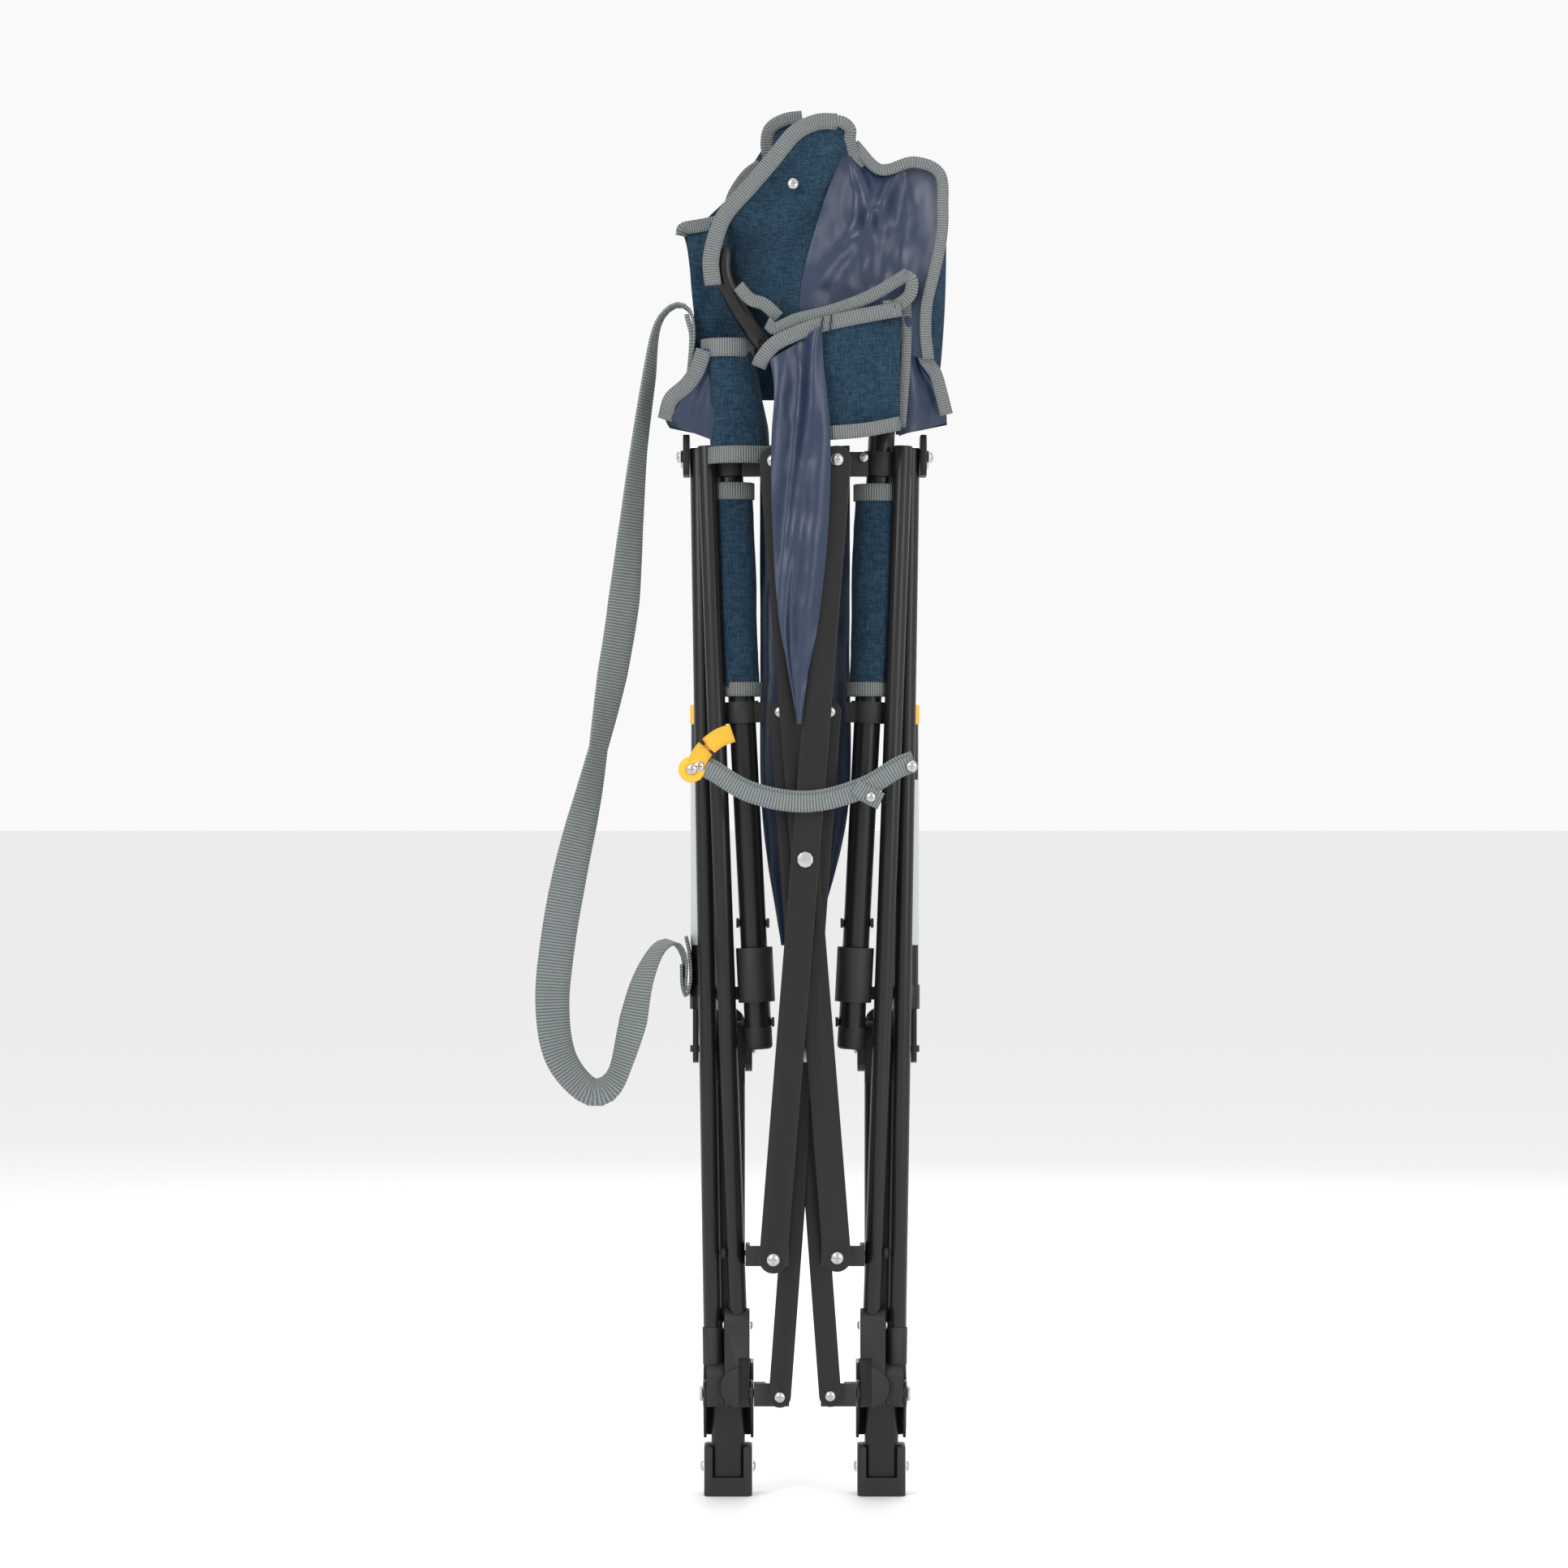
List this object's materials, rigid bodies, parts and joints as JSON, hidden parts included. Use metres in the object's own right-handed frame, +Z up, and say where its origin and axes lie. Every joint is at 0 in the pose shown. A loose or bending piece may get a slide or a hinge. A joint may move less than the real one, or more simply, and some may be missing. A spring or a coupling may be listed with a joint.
{
  "type": "folding camp chair",
  "caption": "Folded steel camp chair with two scissor frames, gas struts and rails at the sides, navy cloth and grey webbing straps.",
  "frame": {"origin": "on the floor, midway between left and right and between the frontmost and rearmost points of the folded chair without its carry strap", "axes": "+Z up along the folded legs, +X to the right side, -Y the front with the upper scissor"},
  "size_m": [0.2721, 0.1032, 0.965],
  "materials": {
    "black_steel": "satin powder coat",
    "black_plastic": "moulded, matte",
    "zinc": "zinc plated",
    "chrome": "polished",
    "yellow_plastic": "moulded",
    "heather_cloth": "heather weave",
    "lining_cloth": "plain shiny weave",
    "grey_webbing": "ribbed webbing"
  },
  "bodies": {
    "left_upright": {"left_rear_leg": "black_steel", "left_rear_leg_boot": "black_plastic", "left_hub_pin": "zinc", "left_strut_plate": "black_plastic", "left_arm_cloth": "heather_cloth"},
    "left_front_frame": {"left_front_leg": "black_steel", "left_front_boot": "black_plastic"},
    "left_rail_frame": {"left_base_rail": "black_steel", "left_foot_boot": "black_plastic", "left_hub_bracket": "black_steel", "left_rear_boot": "black_plastic"},
    "left_strut": {"left_gas_cylinder": "black_steel", "left_cylinder_cap": "yellow_plastic", "left_slide_ring": "black_plastic"},
    "left_rod": {"left_piston_rod": "chrome"},
    "left_post": {"left_back_post": "black_steel", "left_stop_pin_lower": "black_plastic", "left_stop_pin_upper": "black_plastic", "left_upper_clamp": "black_plastic", "left_lower_clamp": "black_plastic", "left_lower_sleeve": "heather_cloth", "left_upper_sleeve": "heather_cloth", "back_cloth": "heather_cloth", "back_tube": "black_steel", "carry_strap": "grey_webbing", "closure_strap": "grey_webbing"},
    "left_upper_angle": {"left_upper_bracket": "black_plastic"},
    "left_lower_angle": {"left_lower_bracket": "black_plastic"},
    "right_upright": {"right_rear_leg": "black_steel", "right_rear_leg_boot": "black_plastic", "right_hub_pin": "zinc", "right_strut_plate": "black_plastic", "right_arm_cloth": "heather_cloth"},
    "right_front_frame": {"right_front_leg": "black_steel", "right_front_boot": "black_plastic"},
    "right_rail_frame": {"right_base_rail": "black_steel", "right_foot_boot": "black_plastic", "right_hub_bracket": "black_steel", "right_rear_boot": "black_plastic"},
    "right_strut": {"right_gas_cylinder": "black_steel", "right_cylinder_cap": "yellow_plastic", "right_slide_ring": "black_plastic"},
    "right_rod": {"right_piston_rod": "chrome"},
    "right_post": {"right_back_post": "black_steel", "right_stop_pin_lower": "black_plastic", "right_stop_pin_upper": "black_plastic", "right_upper_clamp": "black_plastic", "right_lower_clamp": "black_plastic", "right_lower_sleeve": "heather_cloth", "right_upper_sleeve": "heather_cloth"},
    "right_upper_angle": {"right_upper_bracket": "black_plastic"},
    "right_lower_angle": {"right_lower_bracket": "black_plastic"},
    "upper_front_bar": {"upper_front_bar": "black_steel", "upper_rivet": "zinc"},
    "upper_rear_bar": {"upper_rear_bar": "black_steel"},
    "lower_front_bar": {"lower_front_bar": "black_steel", "lower_rivet": "zinc"},
    "lower_rear_bar": {"lower_rear_bar": "black_steel"},
    "seat_left": {"seat_cloth": "lining_cloth"},
    "seat_right": {"centre_fold": "lining_cloth"}
  },
  "joints": [
    {"name": "left_rail_fold", "type": "hinge", "parent": "left_upright", "child": "left_rail_frame", "pos_m": [0, 0.008, 0.074], "axis": [1, 0, 0], "range_deg": [-62.12, 0]},
    {"name": "left_strut_fold", "type": "hinge", "parent": "left_rail_frame", "child": "left_strut", "pos_m": [0, 0.036, 0.313], "axis": [1, 0, 0], "range_deg": [0, 81.23]},
    {"name": "rocking_slide", "type": "slide", "parent": "left_strut", "child": "left_post", "axis": [-0.0507, 0, 0.9987], "range_m": [-0.005, 0.009]},
    {"name": "spread", "type": "slide", "parent": "left_post", "child": "right_post", "axis": [1, 0, 0], "range_m": [0, 0.312], "deforming": ["back_cloth", "closure_strap", "carry_strap"]},
    {"name": "right_rocking_slide", "type": "slide", "parent": "right_post", "child": "right_strut", "axis": [0.0507, 0, 0.9987], "range_m": [-0.01, 0.006]},
    {"name": "right_strut_fold", "type": "hinge", "parent": "right_strut", "child": "right_rail_frame", "pos_m": [0, 0.036, 0.313], "axis": [1, 0, 0], "range_deg": [-81.23, 0]},
    {"name": "right_rail_fold", "type": "hinge", "parent": "right_rail_frame", "child": "right_upright", "pos_m": [0, 0.008, 0.074], "axis": [1, 0, 0], "range_deg": [0, 62.12]},
    {"name": "left_front_leg_fold", "type": "hinge", "parent": "left_upright", "child": "left_front_frame", "pos_m": [0, 0.008, 0.074], "axis": [1, 0, 0], "range_deg": [0, 45.09]},
    {"name": "left_rod_travel", "type": "slide", "parent": "left_strut", "child": "left_rod", "axis": [0, 0, 1], "range_m": [-0.001, 0.1855]},
    {"name": "left_upper_angle_tilt", "type": "hinge", "parent": "left_front_frame", "child": "left_upper_angle", "pos_m": [-0.04841, 0.0053, 0.172], "axis": [1, 0, 0], "range_deg": [-64.14, 0]},
    {"name": "left_lower_angle_tilt", "type": "hinge", "parent": "left_upright", "child": "left_lower_angle", "pos_m": [-0.031, 0.008, 0.074], "axis": [1, 0, 0], "range_deg": [-22.12, 0]},
    {"name": "right_front_leg_fold", "type": "hinge", "parent": "right_upright", "child": "right_front_frame", "pos_m": [0, 0.008, 0.074], "axis": [1, 0, 0], "range_deg": [0, 45.09]},
    {"name": "right_rod_travel", "type": "slide", "parent": "right_strut", "child": "right_rod", "axis": [0, 0, 1], "range_m": [-0.001, 0.1855]},
    {"name": "right_upper_angle_tilt", "type": "hinge", "parent": "right_front_frame", "child": "right_upper_angle", "pos_m": [0.04841, 0.0053, 0.172], "axis": [1, 0, 0], "range_deg": [-64.14, 0]},
    {"name": "right_lower_angle_tilt", "type": "hinge", "parent": "right_upright", "child": "right_lower_angle", "pos_m": [0.031, 0.008, 0.074], "axis": [1, 0, 0], "range_deg": [-22.12, 0]},
    {"name": "upper_front_bar_swing", "type": "hinge", "parent": "left_upper_angle", "child": "upper_front_bar", "pos_m": [-0.022, -0.037, 0.172], "axis": [0, 1, 0], "range_deg": [0, 35.74]},
    {"name": "upper_cross", "type": "hinge", "parent": "upper_front_bar", "child": "upper_rear_bar", "pos_m": [0, -0.0305, 0.447], "axis": [0, 1, 0], "range_deg": [-71.49, 0]},
    {"name": "lower_front_bar_swing", "type": "hinge", "parent": "left_lower_angle", "child": "lower_front_bar", "pos_m": [-0.0175, -0.0106, 0.074], "axis": [0, 1, 0], "range_deg": [0, 42.69]},
    {"name": "lower_cross", "type": "hinge", "parent": "lower_front_bar", "child": "lower_rear_bar", "pos_m": [0, -0.0081, 0.3115], "axis": [0, 1, 0], "range_deg": [-85.38, 0]},
    {"name": "seat_fold", "type": "hinge", "parent": "left_post", "child": "seat_left", "pos_m": [0, 0.028, 0.735], "axis": [1, 0, 0], "range_deg": [-79.95, 0], "deforming": ["seat_cloth"]},
    {"name": "seat_spread", "type": "slide", "parent": "seat_left", "child": "seat_right", "axis": [1, 0, 0], "range_m": [0, 0.312], "deforming": ["centre_fold"]}
  ],
  "couplings": [
    {"joint": "left_rail_fold", "follows": "spread", "rad_per_m": -3.4683},
    {"joint": "left_strut_fold", "follows": "spread", "rad_per_m": 4.535},
    {"joint": "right_rocking_slide", "follows": "rocking_slide", "ratio": -1},
    {"joint": "right_strut_fold", "follows": "spread", "rad_per_m": -4.535},
    {"joint": "right_rail_fold", "follows": "spread", "rad_per_m": 3.4683},
    {"joint": "left_front_leg_fold", "follows": "spread", "rad_per_m": 2.5173},
    {"joint": "left_rod_travel", "follows": "spread", "ratio": 0.59124},
    {"joint": "left_upper_angle_tilt", "follows": "spread", "rad_per_m": -3.5808},
    {"joint": "left_lower_angle_tilt", "follows": "spread", "rad_per_m": -1.2349},
    {"joint": "right_front_leg_fold", "follows": "spread", "rad_per_m": 2.5173},
    {"joint": "right_rod_travel", "follows": "spread", "ratio": 0.59124},
    {"joint": "right_upper_angle_tilt", "follows": "spread", "rad_per_m": -3.5808},
    {"joint": "right_lower_angle_tilt", "follows": "spread", "rad_per_m": -1.2349},
    {"joint": "upper_front_bar_swing", "follows": "spread", "rad_per_m": 1.9956},
    {"joint": "upper_cross", "follows": "spread", "rad_per_m": -3.9913},
    {"joint": "lower_front_bar_swing", "follows": "spread", "rad_per_m": 2.3833},
    {"joint": "lower_cross", "follows": "spread", "rad_per_m": -4.7665},
    {"joint": "seat_fold", "follows": "spread", "rad_per_m": -4.4634},
    {"joint": "seat_spread", "follows": "spread", "ratio": 1}
  ]
}
